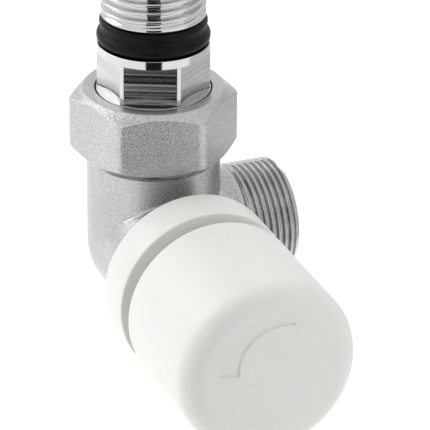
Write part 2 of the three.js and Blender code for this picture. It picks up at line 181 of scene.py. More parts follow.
def new_piece(name, vertices, faces):
    """A mesh object from millimetre points round the crossing, with its normals facing out."""
    mesh = bpy.data.meshes.new(name)
    mesh.from_pydata([CROSSING + Vector(v) * MM for v in vertices], [], faces)
    work = bmesh.new()
    work.from_mesh(mesh)
    bmesh.ops.remove_doubles(work, verts=work.verts, dist=1e-7)
    bmesh.ops.dissolve_degenerate(work, edges=work.edges, dist=1e-8)
    bmesh.ops.recalc_face_normals(work, faces=work.faces)
    work.to_mesh(mesh)
    work.free()
    piece = bpy.data.objects.new(name, mesh)
    bpy.context.scene.collection.objects.link(piece)
    return piece


def rounded(corners, radius=0.15, steps=4):
    """A closed outline of (radius, along) corners, with every corner off the axis made into a small arc."""
    corners = [np.array(c, float) for c in corners]
    outline = []
    for i, here in enumerate(corners):
        before, after = corners[i - 1] - here, corners[(i + 1) % len(corners)] - here
        long_before, long_after = np.linalg.norm(before), np.linalg.norm(after)
        straight = before @ after / (long_before * long_after + 1e-12) < -0.985
        if here[0] < 1e-6 or straight:
            outline.append(here)
            continue
        cut = min(radius, 0.45 * long_before, 0.45 * long_after)
        start, end = here + before / long_before * cut, here + after / long_after * cut
        for t in np.linspace(0, 1, steps):
            outline.append((1 - t) ** 2 * start + 2 * t * (1 - t) * here + t ** 2 * end)
    return np.array(outline)


def densified(outline, low, high, step, radius_above=0.0):
    """The outline with extra points on its stretches between two distances, for a thread or a hexagon."""
    dense = []
    for i, here in enumerate(outline):
        dense.append(here)
        after = outline[(i + 1) % len(outline)]
        inside = min(here[1], after[1]) >= low - 1e-6 and max(here[1], after[1]) <= high + 1e-6
        if inside and min(here[0], after[0]) >= radius_above:
            count = int(abs(after[1] - here[1]) / step)
            dense += [here + (after - here) * (k + 1) / (count + 1) for k in range(count)]
    return np.array(dense)


def turn(name, outline, axis, angles=144, reshape=None):
    """A solid of revolution. reshape(radius, along, angle) may move its surface, for threads and flats."""
    thetas = np.arange(angles) * TAU / angles if np.isscalar(angles) else np.asarray(angles)
    radius = np.repeat(outline[:, :1], len(thetas), axis=1)
    along = np.repeat(outline[:, 1:], len(thetas), axis=1)
    angle = np.repeat(thetas[None, :], len(outline), axis=0)
    if reshape:
        radius = reshape(radius, along, angle)
    across_1, across_2, forward = AXES[axis]
    points = (radius * np.cos(angle))[..., None] * across_1 + (radius * np.sin(angle))[..., None] * across_2
    points = points + along[..., None] * forward
    rows, columns = radius.shape
    on_axis = outline[0, 0] < 1e-6 and outline[-1, 0] < 1e-6
    faces = []
    for i in range(rows - 1 if on_axis else rows):
        below = (i + 1) % rows
        for j in range(columns):
            beside = (j + 1) % columns
            faces.append((i * columns + j, i * columns + beside,
                          below * columns + beside, below * columns + j))
    return new_piece(name, points.reshape(-1, 3), faces)


def ring_with_gap(name, outline, axis, gap, at=0.0, steps=90):
    """A spring ring: a section swept round an axis, with a gap in millimetres and closed ends."""
    half = gap / 2 / max(outline[:, 0])
    thetas = np.linspace(at + half, at + TAU - half, steps)
    across_1, across_2, forward = AXES[axis]
    points = [r * np.cos(t) * across_1 + r * np.sin(t) * across_2 + a * forward
              for t in thetas for r, a in outline]
    count = len(outline)
    faces = [(i * count + j, i * count + (j + 1) % count,
              (i + 1) * count + (j + 1) % count, (i + 1) * count + j)
             for i in range(steps - 1) for j in range(count)]
    faces.append(tuple(range(count)))
    faces.append(tuple((steps - 1) * count + j for j in range(count)))
    return new_piece(name, points, faces)


def disc_section(centre_r, centre_along, radius, steps=14):
    """A round section, as an outline."""
    turns = np.arange(steps) * TAU / steps
    return np.stack([centre_r + radius * np.cos(turns), centre_along + radius * np.sin(turns)], axis=1)


def arc(centre_r, centre_along, radius, start, end, steps):
    turns = np.radians(np.linspace(start, end, steps))
    return [(centre_r + radius * np.cos(t), centre_along + radius * np.sin(t)) for t in turns]


def block(name, low, high):
    """A box between two corners, for cutting slots."""
    corners = [(x, y, z) for x in (low[0], high[0]) for y in (low[1], high[1]) for z in (low[2], high[2])]
    faces = [(0, 1, 3, 2), (4, 6, 7, 5), (0, 4, 5, 1), (2, 3, 7, 6), (0, 2, 6, 4), (1, 5, 7, 3)]
    return new_piece(name, corners, faces)


def settle(piece):
    """Makes a piece's modifiers part of its mesh."""
    depsgraph = bpy.context.evaluated_depsgraph_get()
    mesh = bpy.data.meshes.new_from_object(piece.evaluated_get(depsgraph))
    piece.modifiers.clear()
    piece.data = mesh
    return piece


def combine(piece, tool, operation):
    """Joins, cuts or crosses a piece with a tool, which is used up."""
    change = piece.modifiers.new(operation, "BOOLEAN")
    change.operation = operation
    change.object = tool
    change.solver = "MANIFOLD"
    settle(piece)
    bpy.data.objects.remove(tool)
    return piece


def smooth_shade(piece, sharp_degrees=32):
    for polygon in piece.data.polygons:
        polygon.use_smooth = True
    piece.data.set_sharp_from_angle(angle=np.radians(sharp_degrees))
    return piece


def hexagon_radius(angle, flat, turned):
    """Distance from the axis to a hexagon's side, in a direction."""
    from_flat = (angle - turned + np.pi / 6) % (np.pi / 3) - np.pi / 6
    return flat / np.cos(from_flat)


def rounded_hexagon(angle, flat, turned, corner):
    """Distance from the axis to the side of a hexagon whose corners have a radius."""
    from_flat = (angle - turned + np.pi / 6) % (np.pi / 3) - np.pi / 6
    from_corner = np.pi / 6 - np.abs(from_flat)
    centre = (flat - corner) / np.cos(np.pi / 6)
    across = centre * np.sin(from_corner)
    arc_r = centre * np.cos(from_corner) + np.sqrt(np.maximum(corner ** 2 - across ** 2, 0))
    tangent = np.arctan((flat * np.tan(np.pi / 6) - corner * np.tan(np.pi / 6)) / flat)
    return np.where(np.abs(from_flat) < tangent, flat / np.cos(from_flat), arc_r)


def smaller(a, b, blend):
    """The smaller of two distances, with the edge between them rounded."""
    share = np.clip(0.5 + 0.5 * (b - a) / blend, 0, 1)
    return b + (a - b) * share - blend * share * (1 - share)


def thread_radius(along, angle, pitch, crest, root, phase, run_out):
    """A right-hand thread with rounded crests and roots.

    It runs out over a turn at the start of run_out, and over half a turn at its end.
    """
    turned = (along / pitch - angle / TAU + phase) % 1
    rise = np.clip(1.3 * (1 - np.abs(2 * turned - 1)) - 0.15, 0, 1)
    rise = rise * rise * (3 - 2 * rise)
    start, end = run_out
    fade = np.clip((along - start) / pitch, 0, 1) * np.clip((end - along) / (0.5 * pitch), 0, 1)
    return crest - (crest - root) * (1 - rise) * fade


# Materials ------------------------------------------------------------------------------------------

def shader_tree(name):
    material = bpy.data.materials.new(name)
    material.use_nodes = True
    tree = material.node_tree
    return material, tree, tree.nodes["Principled BSDF"]


def add_node(tree, kind, values=(), **inputs):
    """A node with its properties and input values set."""
    node = tree.nodes.new(kind)
    for key, value in dict(values).items():
        setattr(node, key, value)
    for key, value in inputs.items():
        node.inputs[key.replace("_", " ")].default_value = value
    return node


def stretched_coordinates(tree, stretch):
    """Object coordinates, stretched by a factor along each axis."""
    place = add_node(tree, "ShaderNodeTexCoord")
    mapping = add_node(tree, "ShaderNodeMapping", Scale=stretch)
    tree.links.new(place.outputs["Object"], mapping.inputs["Vector"])
    return mapping.outputs["Vector"]


def noise(tree, size_mm, detail=3.0, roughness=0.55, stretch=(1, 1, 1)):
    """A noise whose features are about size_mm across."""
    field = add_node(tree, "ShaderNodeTexNoise", Scale=1 / (size_mm * MM), Detail=detail,
                     Roughness=roughness)
    tree.links.new(stretched_coordinates(tree, stretch), field.inputs["Vector"])
    return field.outputs["Fac"]


def remap(tree, source, from_low, from_high, to_low, to_high):
    scale = add_node(tree, "ShaderNodeMapRange", From_Min=from_low, From_Max=from_high,
                     To_Min=to_low, To_Max=to_high)
    tree.links.new(source, scale.inputs["Value"])
    return scale.outputs["Result"]


def mixed(tree, factor, colour_a, colour_b):
    """A colour between two, each an RGB value or a socket."""
    mix = add_node(tree, "ShaderNodeMix", {"data_type": "RGBA"})
    tree.links.new(factor, mix.inputs["Factor"])
    for socket, colour in ((mix.inputs[6], colour_a), (mix.inputs[7], colour_b)):
        if isinstance(colour, tuple):
            socket.default_value = (*colour, 1)
        else:
            tree.links.new(colour, socket)
    return mix.outputs[2]


def bumped(tree, layers):
    """Chains (height, depth in mm) layers into one bump."""
    normal = None
    for height, depth in layers:
        bump = add_node(tree, "ShaderNodeBump", Strength=1.0, Distance=depth * MM)
        tree.links.new(height, bump.inputs["Height"])
        if normal:
            tree.links.new(normal, bump.inputs["Normal"])
        normal = bump.outputs["Normal"]
    return normal


def finish(name, dark, light, worn, rough, bumps, metallic=0.0, patch_mm=9, patch_stretch=(1, 1, 1),
           grain=0.0, **sockets):
    """A material: patchy colour between dark and light, rubbed spots, patchy roughness and layered bumps.

    bumps are (feature size in mm, depth in mm, stretch), and grain is how much the first one darkens.
    """
    material, tree, shader = shader_tree(name)
    patches = noise(tree, patch_mm, detail=5, stretch=patch_stretch)
    spread = remap(tree, patches, 0.3, 0.7, 0, 1)
    rubbed = remap(tree, noise(tree, 2.2, detail=7, roughness=0.7), 0.5, 0.8, 0, 0.6)
    colour = mixed(tree, rubbed, mixed(tree, spread, dark, light), worn)
    pits = remap(tree, noise(tree, bumps[0][0], stretch=bumps[0][2]), 0.6, 0.4, 0, grain)
    tree.links.new(mixed(tree, pits, colour, tuple(0.3 * c for c in dark)), shader.inputs["Base Color"])
    tree.links.new(remap(tree, patches, 0.35, 0.65, rough[0], rough[1]), shader.inputs["Roughness"])
    layers = [(noise(tree, size, stretch=stretch), depth) for size, depth, stretch in bumps]
    tree.links.new(bumped(tree, layers), shader.inputs["Normal"])
    shader.inputs["Metallic"].default_value = metallic
    for socket, value in sockets.items():
        shader.inputs[socket.replace("_", " ")].default_value = value
    return material


EVEN = (1, 1, 1)
ROUND_TAIL = (0.12, 0.12, 4)      # fine lines round the tail's axis
ROUND_OUTLET = (4, 0.12, 0.12)
ROUND_HEAD = (0.12, 4, 0.12)
ALONG_FLATS = (0.003, 0.003, 1.4)  # milling lines across the tail's hexagon

blasted_nickel = finish(
    "blasted_nickel", (0.54, 0.545, 0.555), (0.61, 0.615, 0.62), (0.68, 0.68, 0.68), (0.21, 0.27),
    [(0.36, 0.17, EVEN), (0.9, 0.03, EVEN), (5, 0.05, EVEN)], metallic=1.0, grain=0.3)
cast_nickel = finish(
    "cast_nickel", (0.49, 0.495, 0.505), (0.55, 0.555, 0.56), (0.62, 0.62, 0.62), (0.16, 0.22),
    [(0.36, 0.1, EVEN), (0.9, 0.02, EVEN), (5, 0.05, EVEN)], metallic=1.0, grain=0.3)
machined_nickel = finish(
    "machined_nickel", (0.48, 0.485, 0.49), (0.58, 0.58, 0.585), (0.74, 0.74, 0.74), (0.11, 0.2),
    [(0.35, 0.012, ROUND_OUTLET), (0.4, 0.02, EVEN)], metallic=1.0, grain=0.15)
faced_nickel = finish(
    "faced_nickel", (0.46, 0.465, 0.47), (0.54, 0.54, 0.545), (0.7, 0.7, 0.7), (0.26, 0.34),
    [(0.3, 0.03, EVEN), (2.5, 0.02, EVEN)], metallic=1.0, grain=0.12)
bright_nickel = finish(
    "bright_nickel", (0.6, 0.6, 0.605), (0.66, 0.66, 0.66), (0.72, 0.72, 0.72), (0.06, 0.11),
    [(0.6, 0.0005, ROUND_TAIL), (3, 0.002, EVEN)], metallic=1.0, grain=0.05)
milled_nickel = finish(
    "milled_nickel", (0.52, 0.52, 0.525), (0.64, 0.64, 0.64), (0.68, 0.68, 0.68), (0.05, 0.34),
    [(0.8, 0.01, ALONG_FLATS), (0.4, 0.006, ALONG_FLATS)], metallic=1.0, patch_mm=0.8,
    patch_stretch=ALONG_FLATS, grain=0.15)
seal_rubber = finish(
    "seal_rubber", (0.002, 0.002, 0.0025), (0.005, 0.005, 0.0055), (0.012, 0.012, 0.012), (0.3, 0.46),
    [(0.4, 0.08, (0.3, 0.3, 1.6)), (2.5, 0.12, EVEN)], patch_mm=3, Specular_IOR_Level=0.13)
cap_plastic = finish(
    "cap_plastic", (0.82, 0.83, 0.79), (0.84, 0.85, 0.81), (0.86, 0.865, 0.84), (0.36, 0.44),
    [(0.5, 0.006, EVEN), (6, 0.02, EVEN)], patch_mm=14,
    Subsurface_Weight=0.1, Subsurface_Scale=0.0012, Specular_IOR_Level=0.45)
insert_plastic = finish(
    "insert_plastic", (0.7, 0.7, 0.67), (0.76, 0.76, 0.73), (0.82, 0.82, 0.8), (0.45, 0.55),
    [(0.4, 0.01, EVEN), (3, 0.03, EVEN)])
turned_brass = finish(
    "turned_brass", (0.55, 0.38, 0.15), (0.7, 0.5, 0.22), (0.85, 0.68, 0.38), (0.2, 0.32),
    [(0.35, 0.012, ROUND_HEAD), (2, 0.015, EVEN)], metallic=1.0, patch_mm=5, grain=0.15)
spring_steel = finish(
    "spring_steel", (0.3, 0.3, 0.31), (0.4, 0.4, 0.41), (0.62, 0.62, 0.63), (0.26, 0.38),
    [(0.3, 0.01, EVEN)], metallic=1.0, patch_mm=3, grain=0.15)
plain_ptfe = finish(
    "plain_ptfe", (0.76, 0.76, 0.73), (0.83, 0.83, 0.8), (0.86, 0.86, 0.84), (0.5, 0.6),
    [(0.4, 0.02, EVEN)], patch_mm=4)


def dress(piece, body, slot, *materials):
    """Gives a piece its body and its finishes. The slot argument is not used."""
    piece.data.materials.clear()
    for material in materials:
        piece.data.materials.append(material)
    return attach(piece, body)


def second_finish(piece, chosen):
    """Puts a piece's second material on the faces that chosen(centre in mm, normal) picks."""
    for polygon in piece.data.polygons:
        centre = (polygon.center - CROSSING) / MM
        polygon.material_index = 1 if chosen(centre, polygon.normal) else 0


# Valve body -----------------------------------------------------------------------------------------

def casting():
    """The blasted forging: sleeve, elbow, boss and arm melted together, then machined."""
    over = 1.6                    # left on for the machined faces to cut away
    bottom = arc(0, 0, SLEEVE_R, -90, 0, 24)
    bottom[0] = (0, -SLEEVE_R)
    sleeve = turn("sleeve", np.array([*bottom, (SLEEVE_R, SLEEVE_TOP + over),
                                      (0, SLEEVE_TOP + over)]), "tail")
    boss = turn("boss", np.array([(0, 0), (SLEEVE_R, 0), (SLEEVE_R, BOSS_FACE + over),
                                  (0, BOSS_FACE + over)]), "head")
    arm = turn("arm", np.array([(0, 0), (13, 0), (12.9, 12.4), (12, 15.8), (11.9, ARM_END + over),
                                (0, ARM_END + over)]), "outlet")
    combine(sleeve, boss, "UNION")
    combine(sleeve, arm, "UNION")
    melt = sleeve.modifiers.new("melt", "REMESH")
    melt.mode = "VOXEL"
    melt.voxel_size = CASTING_VOXEL * MM
    soften = sleeve.modifiers.new("soften", "SMOOTH")
    soften.factor = 0.5
    soften.iterations = 3
    settle(sleeve)
    for name, outline, axis in casting_cuts():
        combine(sleeve, turn(name, np.array(outline, float), axis, 96), "DIFFERENCE")
    for name, radius, low, high, axis, shift in (
            ("tail_port", 4.3, 2, TAIL_WAY_FLOOR + 1, "tail", -4.4),
            ("outlet_port", 3.6, 1, 15, "outlet", 5.6)):
        port = turn(name, np.array([(0, low), (radius, low), (radius, high), (0, high)], float), axis, 48)
        port.data.transform(Matrix.Translation((0, shift * MM, 0)))
        combine(sleeve, port, "DIFFERENCE")
    sleeve.name = "body_casting"
    return sleeve


def casting_cuts():
    """The machined faces and bores, as (name, outline, axis) of what is cut away."""
    far = 40
    return (
        ("sleeve_face", [(0, SLEEVE_TOP), (SLEEVE_R - 0.35, SLEEVE_TOP), (SLEEVE_R + 1, SLEEVE_TOP - 1.35),
                         (SLEEVE_R + 1, 24), (0, 24)], "tail"),
        ("boss_face", [(0, BOSS_FACE), (SLEEVE_R - 0.4, BOSS_FACE), (SLEEVE_R + 1, BOSS_FACE - 1.4),
                       (SLEEVE_R + 1, 24), (0, 24)], "head"),
        ("arm_face", [(0, ARM_END), (14, ARM_END), (14, 24), (0, 24)], "outlet"),
        ("tail_way", [(0, TAIL_WAY_FLOOR), (TAIL_WAY_R, TAIL_WAY_FLOOR), (TAIL_WAY_R, far),
                      (0, far)], "tail"),
        ("head_way", [(0, 0), (5.6, 0), (5.6, -0.8), (CHAMBER_R, -0.8), (CHAMBER_R, HEAD_BORE_FLOOR),
                      (HEAD_BORE_R, HEAD_BORE_FLOOR), (HEAD_BORE_R, far), (0, far)], "head"),
        ("seat_way", [(0, -9.6), (4.5, -9.6), (6, -8.1), (6, -3), (4.6, -3), (4.6, 1), (0, 1)], "head"),
        ("outlet_way", [(0, 13.5), (OUTLET_BORE_R, 13.5), (OUTLET_BORE_R, far), (0, far)], "outlet"),
    )


def outlet_thread():
    """The machined end of the pipe outlet, with its thread, chamfer and socket."""
    outline = rounded([
        (OUTLET_BORE_R, ARM_END - 0.4), (11.3, ARM_END - 0.4), (11.3, ARM_END + 0.1),
        (OUTLET_CREST_R, ARM_END + 0.7), (OUTLET_CREST_R, OUTLET_END - 1.5), (10.5, OUTLET_END),
        (OUTLET_SOCKET_R + 1, OUTLET_END), (OUTLET_SOCKET_R, OUTLET_END - 1),
        (OUTLET_SOCKET_R, OUTLET_SOCKET_FLOOR), (OUTLET_BORE_R, OUTLET_SOCKET_FLOOR)], 0.12)
    outline = densified(outline, ARM_END, OUTLET_END, OUTLET_PITCH / 20, radius_above=10)

    def reshape(radius, along, angle):
        threaded = thread_radius(along, angle, OUTLET_PITCH, OUTLET_CREST_R, OUTLET_ROOT_R, OUTLET_PHASE,
                                 (ARM_END + 0.2, OUTLET_END - 0.4))
        return np.where(radius > 10.4, np.minimum(radius, threaded), radius)

    return turn("outlet_thread", outline, "outlet", 300, reshape)


def body_spigot():
    """The union thread on top of the body, under the nut."""
    outline = rounded([
        (TAIL_WAY_R, SLEEVE_TOP - 0.4), (12.2, SLEEVE_TOP - 0.4), (12.2, SLEEVE_TOP + 0.4),
        (SPIGOT_CREST_R, SLEEVE_TOP + 0.8), (SPIGOT_CREST_R, SPIGOT_TOP - 0.7), (12, SPIGOT_TOP),
        (SPIGOT_BORE_R, SPIGOT_TOP), (SPIGOT_BORE_R, SPIGOT_BORE_FLOOR),
        (TAIL_WAY_R, SPIGOT_BORE_FLOOR)], 0.12)
    outline = densified(outline, SLEEVE_TOP, SPIGOT_TOP, UNION_PITCH / 12, radius_above=11)

    def reshape(radius, along, angle):
        threaded = thread_radius(along, angle, UNION_PITCH, SPIGOT_CREST_R, SPIGOT_ROOT_R, 0,
                                 (SLEEVE_TOP + 0.4, SPIGOT_TOP))
        return np.where(radius > 11.8, np.minimum(radius, threaded), radius)

    return turn("body_spigot", outline, "tail", 240, reshape)


# Union nut ------------------------------------------------------------------------------------------

def union_nut():
    """A forged hexagon with soft edges, chamfered top and bottom, faced on top and threaded inside."""
    outline = rounded([
        (NUT_LIP_R, NUT_LIP_UNDERSIDE), (NUT_THREAD_R, NUT_LIP_UNDERSIDE), (NUT_THREAD_R, NUT_BOTTOM + 0.6),
        (NUT_THREAD_R + 0.5, NUT_BOTTOM), (14.9, NUT_BOTTOM), (NUT_CORNER_R + 0.4, 21.7),
        (NUT_CORNER_R + 0.4, 31.1), (15, 32.6), (14.1, NUT_TOP), (NUT_LIP_R, NUT_TOP)], 0.2)
    outline = densified(outline, NUT_BOTTOM, NUT_TOP, 0.15, radius_above=12)

    def reshape(radius, along, angle):
        sides = rounded_hexagon(angle, NUT_FLAT, NUT_TURN, NUT_CORNER)
        soft = np.where(radius > 13.9, smaller(radius, sides, NUT_EDGE), radius)
        female = NUT_THREAD_R + NUT_BORE_R - thread_radius(
            along, angle, UNION_PITCH, NUT_THREAD_R, NUT_BORE_R, 0.5, (NUT_BOTTOM, NUT_LIP_UNDERSIDE))
        inside = np.abs(radius - NUT_THREAD_R) < 0.02
        return np.where(inside, np.minimum(female, NUT_THREAD_R), soft)

    return turn("union_nut_forging", outline, "tail", 360, reshape)


# Tailpiece ------------------------------------------------------------------------------------------

def tail_angles():
    """Directions round the tail, with extra ones at the edges of its six flats."""
    half_flat = np.arccos(TAIL_FLAT / TAIL_R)
    edges = [TAIL_TURN + k * np.pi / 3 + side * (half_flat + nudge)
             for k in range(6) for side in (-1, 1) for nudge in (-0.012, 0, 0.012)]
    even = np.arange(168) * TAU / 168
    angles = np.sort(np.mod(np.concatenate([edges, even]), TAU))
    return angles[np.append(np.diff(angles) > 0.004, True)]


def tail_barrel():
    """The bright tailpiece below its thread: foot, collar, ledge, hexagon flats and seal groove."""
    outline = rounded([
        (TAIL_BORE_R, TAIL_FOOT), (TAIL_FOOT_R, TAIL_FOOT), (TAIL_FOOT_R, 24.7), (8.1, 24.7), (8.1, 26.7),
        (TAIL_FOOT_R, 26.7), (TAIL_FOOT_R, TAIL_COLLAR_BOTTOM), (TAIL_COLLAR_R, TAIL_COLLAR_BOTTOM),
        (TAIL_COLLAR_R, TAIL_COLLAR_TOP), (TAIL_LEDGE_R, TAIL_COLLAR_TOP), (TAIL_LEDGE_R, TAIL_FLATS_BOTTOM),
        (TAIL_R, TAIL_FLATS_BOTTOM), (TAIL_R, TAIL_FLATS_BOTTOM + 0.04), (TAIL_R, TAIL_FLATS_TOP - 0.02),
        (TAIL_R, TAIL_FLATS_TOP + 0.02), (TAIL_R, TAIL_SHOULDER), (TAIL_GROOVE_R, TAIL_SHOULDER),
        (TAIL_GROOVE_R, TAIL_THREAD_START - 0.1), (TAIL_BORE_R, TAIL_THREAD_START - 0.1)], 0.12)

    def reshape(radius, along, angle):
        flats = hexagon_radius(angle, TAIL_FLAT, TAIL_TURN)
        milled = (along > TAIL_FLATS_BOTTOM + 0.01) & (along < TAIL_FLATS_TOP) & (radius > TAIL_R - 0.1)
        return np.where(milled, np.minimum(radius, flats), radius)

    return turn("tail_barrel", outline, "tail", tail_angles(), reshape)


def tail_thread():
    """The radiator thread, from the edge over the seal to the chamfered end."""
    outline = rounded([
        (TAIL_BORE_R, TAIL_THREAD_START - 0.1), (TAIL_GROOVE_R, TAIL_THREAD_START - 0.1),
        (TAIL_CREST_R, TAIL_THREAD_START), (TAIL_CREST_R, TAIL_TOP - 1.2), (TAIL_CREST_R - 1, TAIL_TOP),
        (TAIL_BORE_R + 0.4, TAIL_TOP), (TAIL_BORE_R, TAIL_TOP - 0.4)], 0.12)
    outside = TAIL_ROOT_R - 0.32  # only the outer surface is threaded
    first_turn = TAIL_THREAD_START + 0.1
    outline = densified(outline, TAIL_THREAD_START, TAIL_TOP, UNION_PITCH / 26, radius_above=outside)

    def reshape(radius, along, angle):
        threaded = thread_radius(along, angle, UNION_PITCH, TAIL_CREST_R, TAIL_ROOT_R, TAIL_PHASE,
                                 (first_turn, TAIL_TOP))
        chosen = (along > first_turn) & (radius > outside)
        return np.where(chosen, np.minimum(radius, threaded), radius)

    return turn("tail_thread", outline, "tail", 360, reshape)


def rubber_seal():
    """The two-ribbed seal between the tail's shoulder and thread."""
    groove = TAIL_GROOVE_R + 0.15
    lower, upper = SEAL_BOTTOM + 1.25, SEAL_TOP - 1.25
    waist = (10.42, (lower + upper) / 2 - 0.1)
    outline = [(groove, SEAL_BOTTOM), *arc(10.15, lower, 1.23, -90, 62, 12), waist,
               *arc(9.75, upper, 1.05, -38, 80, 10), (9.8, SEAL_TOP), (groove, SEAL_TOP)]
    return turn("rubber_seal", rounded(outline, 0.2, 3), "tail", 180)


# Cap ------------------------------------------------------------------------------------------------

def face_grid_radii():
    """Radii across the cap's flat face, close together where the sunk mark is."""
    return np.concatenate([np.linspace(0, MARK_INNER_R[0] - 0.4, 10)[:-1],
                           np.arange(MARK_INNER_R[0] - 0.4, MARK_OUTER_R + 0.3, 0.06),
                           np.linspace(MARK_OUTER_R + 0.4, CAP_R - CAP_FILLET, 8)[:-1]])


def mark_depth(radius, angle):
    """How deep the tapering arc is sunk at a point of the cap's face."""
    wide, narrow = MARK_ANGLES
    share = (wide - angle) / (wide - narrow)
    inner = MARK_INNER_R[0] + (MARK_INNER_R[1] - MARK_INNER_R[0]) * np.clip(share, 0, 1)
    across = np.minimum(radius - inner, MARK_OUTER_R - radius)
    endwise = np.minimum(wide - angle, angle - narrow) * np.maximum(radius, 1)
    inside = np.clip(np.minimum(across, endwise) / MARK_WALL, 0, 1)
    return MARK_DEPTH * inside * inside * (3 - 2 * inside)


def shield_cap():
    """The white cap: a soft-edged cup with a tapering arc sunk in its face."""
    radii = face_grid_radii()
    face = [(r, CAP_END) for r in radii]
    fillet = arc(CAP_R - CAP_FILLET, CAP_END - CAP_FILLET, CAP_FILLET, 90, 0, 22)
    wall = [(CAP_R, (CAP_END + CAP_START) / 2), (CAP_R, CAP_START + 1)]
    beyond = CAP_START + 20       # closes the mouth's outline for rounding, then is left out
    mouth = rounded([(CAP_R - 4, beyond), (CAP_R, beyond), (CAP_R, CAP_START),
                     (CAP_MOUTH_R, CAP_START), (CAP_MOUTH_R, RING_GROOVE[0]), (RING_GROOVE_R, RING_GROOVE[0]),
                     (RING_GROOVE_R, RING_GROOVE[1]), (CAP_MOUTH_R, RING_GROOVE[1]),
                     (CAP_MOUTH_R, CAP_STEP), (CAP_INSIDE_R, CAP_STEP), (CAP_INSIDE_R, beyond)], 0.4)
    mouth = [point for point in mouth if point[1] < beyond - 5]
    inside = arc(CAP_INSIDE_R - 2.2, CAP_INSIDE_END - 2.2, 2.2, 0, 90, 8)
    outline = np.array([*face, *fillet, *wall, *mouth, *inside, (0, CAP_INSIDE_END)])

    piece = turn("shield_cap", outline, "head", 480)
    for vertex in piece.data.vertices:
        x, y, z = (vertex.co - CROSSING) / MM
        if -y > CAP_END - 0.01:
            vertex.co.y += mark_depth(np.hypot(x, z), np.arctan2(z, x)) * MM
    return piece


def collar():
    """The white ring that the bonnet clamps to the body, and its hub inside the cap."""
    return turn("collar_ring", rounded([
        (10.3, COLLAR_START), (CAP_R, COLLAR_START), (CAP_R, COLLAR_FRONT), (COLLAR_INSIDE_R, COLLAR_FRONT),
        (COLLAR_INSIDE_R, COLLAR_WEB_END), (HUB_R, COLLAR_WEB_END), (HUB_R, HUB_END),
        (HUB_BORE_R, HUB_END), (HUB_BORE_R, COLLAR_WEB_END), (10.3, COLLAR_WEB_END)], 0.4, 5), "head", 240)


def clip_insert():
    """The slotted clip ring inside the cap."""
    piece = turn("clip_ring", rounded([
        (13.9, INSERT_START + 1.6), (13.8, INSERT_START + 0.8), (13.9, INSERT_START), (15.9, INSERT_START),
        (15.9, INSERT_END), (13.9, INSERT_END)], 0.25), "head", 180)
    for i in range(6):
        slot = block("slot", (13, -INSERT_START - 4.4, -0.6), (17, 1 - INSERT_START, 0.6))
        turned = Matrix.Rotation(np.radians(i * 60 + 15), 4, "Y")
        slot.data.transform(Matrix.Translation(CROSSING) @ turned @ Matrix.Translation(-CROSSING))
        combine(piece, slot, "DIFFERENCE")
    return piece


# Headwork -------------------------------------------------------------------------------------------

def bonnet():
    """The brass headwork barrel with its hexagon, bores, ring groove and circlip groove."""
    hex_start, hex_end, hex_flat = 22.15, 26.4, 9.5
    outline = rounded([
        (7, BONNET_START), (9.9, BONNET_START), (9.9, 13), (8.4, 13), (8.4, 15.2), (9.9, 15.2),
        (9.9, hex_start), (10.5, hex_start), (10.97, hex_start + 0.5), (10.97, hex_end - 0.5),
        (10.3, hex_end), (8.2, hex_end), (8.2, BONNET_END), (5.4, BONNET_END), (5.4, 36.45), (6.7, 36.45),
        (6.7, 35.15), (5.4, 35.15), (5.4, 24), (4.9, 24), (4.9, 15), (7, 15)], 0.2)
    outline = densified(outline, hex_start, hex_end, 0.3, radius_above=10)

    def reshape(radius, along, angle):
        flats = hexagon_radius(angle, hex_flat, 0)
        return np.where(radius > 10.1, smaller(radius, flats, 0.15), radius)

    return turn("headwork_barrel", outline, "head", 180, reshape)


def stem():
    """The brass spindle: button, ring grooves, and the hexagon socket in its head."""
    socket_floor, socket_flat = SPINDLE_END - 7, 3
    rings = [(r, c + s) for c in (16.3, 18.8) for r, s in ((4.6, -0.8), (3.5, -0.8), (3.5, 0.8), (4.6, 0.8))]
    outline = rounded([
        (0, SPINDLE_START), (3.8, SPINDLE_START), (3.8, 8.4), (2.5, 8.4), (2.5, 11.6), (4.1, 11.6),
        (4.6, 12.1),
        *rings, (4.6, 24.3), (5.1, 24.8), (5.1, SPINDLE_END - 0.5), (4.6, SPINDLE_END),
        (3.4, SPINDLE_END), (3.4, socket_floor), (0, socket_floor)], 0.12)

    def reshape(radius, along, angle):
        socket = (along > socket_floor - 0.01) & (radius > 2) & (radius < 3.7)
        return np.where(socket, hexagon_radius(angle, socket_flat, 0) * radius / 3.4, radius)

    return turn("stem", outline, "head", 144, reshape)


def disc_holder():
    return turn("seat_disc_holder", rounded([
        (1.8, 2.8), (6, 2.8), (6, HOLDER_START), (6.6, HOLDER_START), (6.6, HOLDER_END), (4.2, HOLDER_END),
        (4.2, 9.75), (5.1, 9.75), (5.1, 8.6), (4.2, 8.6), (4.2, 5.8), (1.8, 5.8)], 0.15), "head", 120)


def disc_screw():
    outline = rounded([(0, -1.2), (2.4, -1.2), (2.9, -0.8), (2.9, 0), (1.5, 0), (1.5, 5.2), (1.2, 5.5),
                       (0, 5.5)], 0.1)
    piece = turn("seat_disc_screw", outline, "head", 72)
    return combine(piece, block("screw_slot", (-0.4, 0.6, -4), (0.4, 2, 4)), "DIFFERENCE")


def plain_ring(name, node, inner, edge=0.15):
    """A flat ring that fills a CAD node's box, with softened edges."""
    start, end = reach(node, "head")
    outer = radius_of(node)
    return turn(name, rounded([(inner, start), (outer, start), (outer, end), (inner, end)], edge), "head", 96)


# Assembly -------------------------------------------------------------------------------------------

